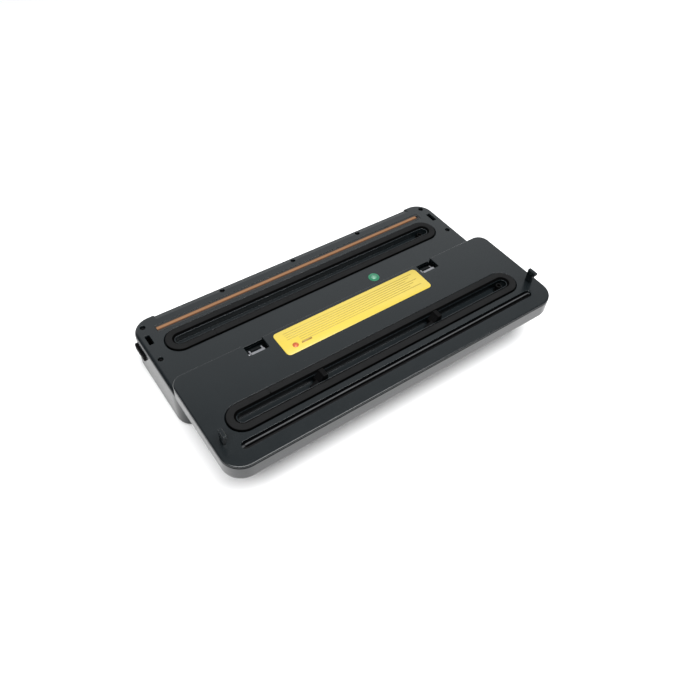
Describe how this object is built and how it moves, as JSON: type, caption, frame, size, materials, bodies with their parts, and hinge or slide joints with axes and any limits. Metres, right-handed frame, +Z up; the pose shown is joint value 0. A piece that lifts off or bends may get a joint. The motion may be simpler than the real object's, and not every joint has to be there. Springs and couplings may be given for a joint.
{
  "type": "vacuum sealer",
  "caption": "Slim bench-top vacuum sealer: a base with heat strip and foam-sealed trough, a lid that opens out flat on rear hinges, and push-button side latches.",
  "frame": {"origin": "centre of the box at the height of the surface the feet stand on, straight below the lid hinge axis", "axes": "+X along the machine towards its right end as seen from the front of the base, +Y from the hinge to the base front edge, +Z up; the lid is opened out flat towards -Y"},
  "size_m": [0.373, 0.2112, 0.0777],
  "materials": {
    "charcoal_plastic": "semi-gloss moulded plastic, very fine grain",
    "dark_plastic": "black moulded plastic, satin",
    "fascia_plastic": "gloss black",
    "key_plastic": "satin grey",
    "foam": "black closed-cell foam",
    "silicone": "grey silicone, satin",
    "feet_rubber": "black rubber",
    "hose_silicone": "milky silicone hose",
    "heater_tape": "tan glass cloth coated with non-stick",
    "insulator": "black heat-proof moulding",
    "element": "resistance strip",
    "brass": "plain",
    "steel": "bright pressed steel",
    "screw_steel": "blackened steel",
    "zinc": "zinc plated",
    "copper_winding": "enamelled wire",
    "board": "green laminate",
    "component": "moulded components",
    "lens": "clear, frosted tip",
    "label_yellow": "printed film",
    "sticker_green": "printed film",
    "wire_insulation": "insulated lead"
  },
  "bodies": {
    "base": {"base_lower_housing": "charcoal_plastic", "base_deck": "charcoal_plastic", "base_gasket": "foam", "heater_bar": "insulator", "heating_element": "element", "heater_tape": "heater_tape", "heater_terminals": "brass", "deck_screws": "screw_steel", "rubber_feet": "feet_rubber", "round_sticker": "sticker_green", "vacuum_port": "dark_plastic", "left_hinge_pin": "steel", "right_hinge_pin": "steel", "left_latch_spring": "zinc", "right_latch_spring": "zinc", "latch_microswitches": "component", "control_fascia": "fascia_plastic", "indicator_lenses": "lens", "control_board": "board", "tact_switches": "component", "motor_can": "zinc", "motor_bushes": "brass", "pump_crankcase": "dark_plastic", "pump_diaphragm": "feet_rubber", "pump_head": "dark_plastic", "pump_bracket": "zinc", "pump_grommets": "feet_rubber", "vacuum_hose": "hose_silicone", "release_valve": "zinc", "vacuum_switch": "component", "transformer_core": "zinc", "transformer_coil": "copper_winding", "power_board": "board", "power_components": "component", "power_inlet": "dark_plastic", "inlet_pins": "brass", "wiring": "wire_insulation"},
    "lid": {"lid_outer_cover": "charcoal_plastic", "lid_inner_panel": "charcoal_plastic", "lid_gasket": "foam", "press_strip": "silicone", "lid_stiffener": "zinc", "bag_stops": "dark_plastic", "lid_suction_port": "dark_plastic", "lid_screws": "screw_steel", "rear_label": "label_yellow", "hinge_brackets": "steel", "hinge_bracket_screws": "zinc", "left_latch_hook": "charcoal_plastic", "right_latch_hook": "charcoal_plastic"},
    "left_latch": {"left_release_button": "dark_plastic", "left_latch_catch": "dark_plastic"},
    "right_latch": {"right_release_button": "dark_plastic", "right_latch_catch": "dark_plastic"},
    "vacuum_seal_key": {"vacuum_seal_button": "key_plastic"},
    "seal_key": {"seal_button": "key_plastic"},
    "mode_key": {"mode_button": "key_plastic"},
    "stop_key": {"stop_button": "key_plastic"},
    "pump_crank": {"motor_rotor": "steel", "crank_disc": "brass"}
  },
  "joints": [
    {"name": "lid_hinge", "type": "hinge", "parent": "base", "child": "lid", "pos_m": [0, 0, 0.054], "axis": [-1, 0, 0], "range_deg": [0, 180], "deforming": ["base_gasket", "lid_gasket"]},
    {"name": "left_release", "type": "slide", "parent": "base", "child": "left_latch", "axis": [1, 0, 0], "range_m": [0, 0.0025], "stiffness_N_per_m": 400, "springref_m": -0.002, "deforming": ["left_latch_spring"]},
    {"name": "right_release", "type": "slide", "parent": "base", "child": "right_latch", "axis": [-1, 0, 0], "range_m": [0, 0.0025], "stiffness_N_per_m": 400, "springref_m": -0.002, "deforming": ["right_latch_spring"]},
    {"name": "vacuum_seal_press", "type": "slide", "parent": "base", "child": "vacuum_seal_key", "axis": [0, -1, 0], "range_m": [0, 0.0006], "stiffness_N_per_m": 500, "springref_m": -0.0006},
    {"name": "seal_press", "type": "slide", "parent": "base", "child": "seal_key", "axis": [0, -1, 0], "range_m": [0, 0.0006], "stiffness_N_per_m": 500, "springref_m": -0.0006},
    {"name": "mode_press", "type": "slide", "parent": "base", "child": "mode_key", "axis": [0, -1, 0], "range_m": [0, 0.0006], "stiffness_N_per_m": 500, "springref_m": -0.0006},
    {"name": "stop_press", "type": "slide", "parent": "base", "child": "stop_key", "axis": [0, -1, 0], "range_m": [0, 0.0006], "stiffness_N_per_m": 500, "springref_m": -0.0006},
    {"name": "crank_spin", "type": "hinge", "parent": "base", "child": "pump_crank", "pos_m": [0, 0.022, 0.02], "axis": [1, 0, 0], "continuous": true}
  ]
}
